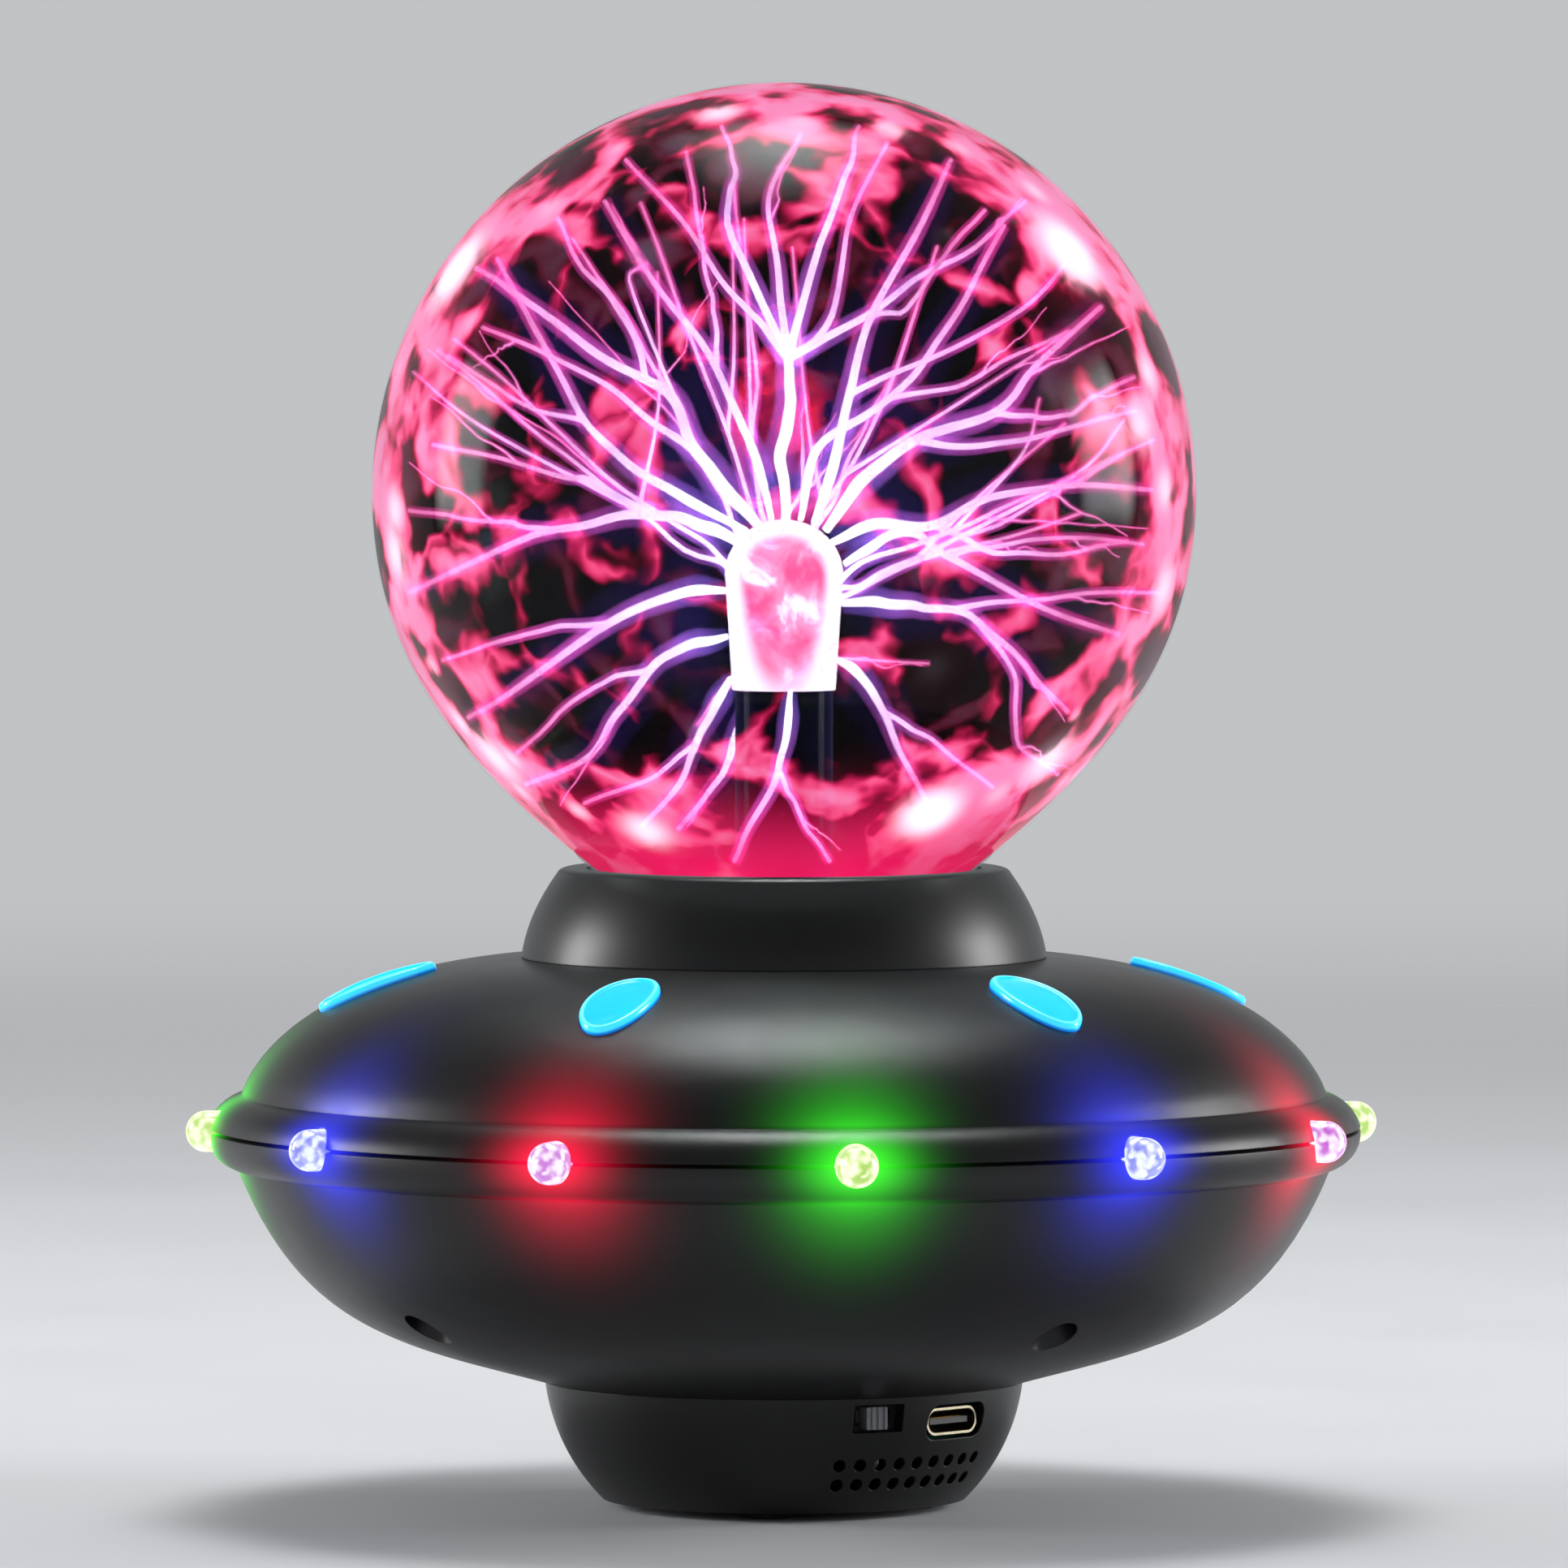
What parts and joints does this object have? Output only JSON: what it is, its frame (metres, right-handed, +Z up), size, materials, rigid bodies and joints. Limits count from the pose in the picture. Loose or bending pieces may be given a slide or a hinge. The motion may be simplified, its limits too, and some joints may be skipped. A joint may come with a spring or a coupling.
{
  "type": "plasma ball",
  "caption": "Glass plasma globe on a saucer-shaped black base with lamps round its rim, lit oval windows, and a small foot with a slide switch and a USB socket.",
  "frame": {"origin": "centre of the rubber feet's underside, on the surface that the object stands on", "axes": "+Z up along the globe's axis; the control panel with the switch and USB socket faces -Y"},
  "size_m": [0.1452, 0.1452, 0.1725],
  "materials": {
    "globe_glass": "clear blown glass",
    "stem_glass": "clear drawn glass tube",
    "capsule_glass": "milky conductive-coated glass",
    "contact_brass": "drawn wire",
    "boot_silicone": "moulded silicone",
    "seal_rubber": "moulded rubber",
    "black_abs": "fine spark-eroded ABS",
    "screw_steel": "zinc plated",
    "window_acrylic": "translucent cyan acrylic, lit from behind",
    "led_blue_epoxy": "water-clear epoxy, blue chip",
    "led_red_epoxy": "water-clear epoxy, red chip",
    "led_green_epoxy": "water-clear epoxy, green chip",
    "lead_tin": "tinned",
    "board_laminate": "green solder mask",
    "chip_package": "moulded epoxy",
    "white_package": "white LED package",
    "usb_steel": "gold-flashed steel",
    "usb_insulator": "black nylon",
    "switch_steel": "pressed steel",
    "knob_black": "ribbed acetal",
    "ferrite": "sintered ferrite",
    "winding_tape": "yellow polyester tape",
    "capacitor_sleeve": "shrunk sleeve",
    "sink_aluminium": "extruded",
    "lead_insulation": "PVC or silicone"
  },
  "bodies": {
    "root": {"base_housing": "black_abs", "base_screws": "screw_steel", "board_screws": "screw_steel", "bottom_cover": "black_abs", "capacitors": "capacitor_sleeve", "collar_screws": "screw_steel", "control_board": "board_laminate", "control_parts": "chip_package", "cover_screws": "screw_steel", "driver_board": "board_laminate", "driver_board_screws": "screw_steel", "driver_transistor": "chip_package", "electrode_capsule": "capsule_glass", "electrode_stem": "stem_glass", "glass_globe": "globe_glass", "globe_collar": "black_abs", "globe_gasket": "seal_rubber", "heat_sink": "sink_aluminium", "hv_boot": "boot_silicone", "hv_lead": "lead_insulation", "led_blue_1": "led_blue_epoxy", "led_blue_2": "led_blue_epoxy", "led_blue_3": "led_blue_epoxy", "led_blue_4": "led_blue_epoxy", "led_green_1": "led_green_epoxy", "led_green_2": "led_green_epoxy", "led_green_3": "led_green_epoxy", "led_green_4": "led_green_epoxy", "led_harness": "lead_insulation", "led_leads": "lead_tin", "led_red_1": "led_red_epoxy", "led_red_2": "led_red_epoxy", "led_red_3": "led_red_epoxy", "led_red_4": "led_red_epoxy", "led_ring_board": "board_laminate", "lower_shell": "black_abs", "microphone": "sink_aluminium", "neck_sleeve": "seal_rubber", "rubber_foot_1": "seal_rubber", "rubber_foot_2": "seal_rubber", "rubber_foot_3": "seal_rubber", "rubber_foot_4": "seal_rubber", "shell_screws": "screw_steel", "stem_contact": "contact_brass", "supply_leads": "lead_insulation", "switch_case": "switch_steel", "transformer_coil": "winding_tape", "transformer_core": "ferrite", "upper_shell": "black_abs", "usb_shell": "usb_steel", "usb_tongue": "usb_insulator", "window_1": "window_acrylic", "window_2": "window_acrylic", "window_3": "window_acrylic", "window_4": "window_acrylic", "window_5": "window_acrylic", "window_6": "window_acrylic", "window_leds": "white_package"},
    "switch_knob": {"switch_knob": "knob_black"}
  },
  "joints": [
    {"name": "switch_slide", "type": "slide", "parent": "root", "child": "switch_knob", "axis": [0.9724, -0.2334, 0], "range_m": [-0.0018, 0.0018]}
  ]
}
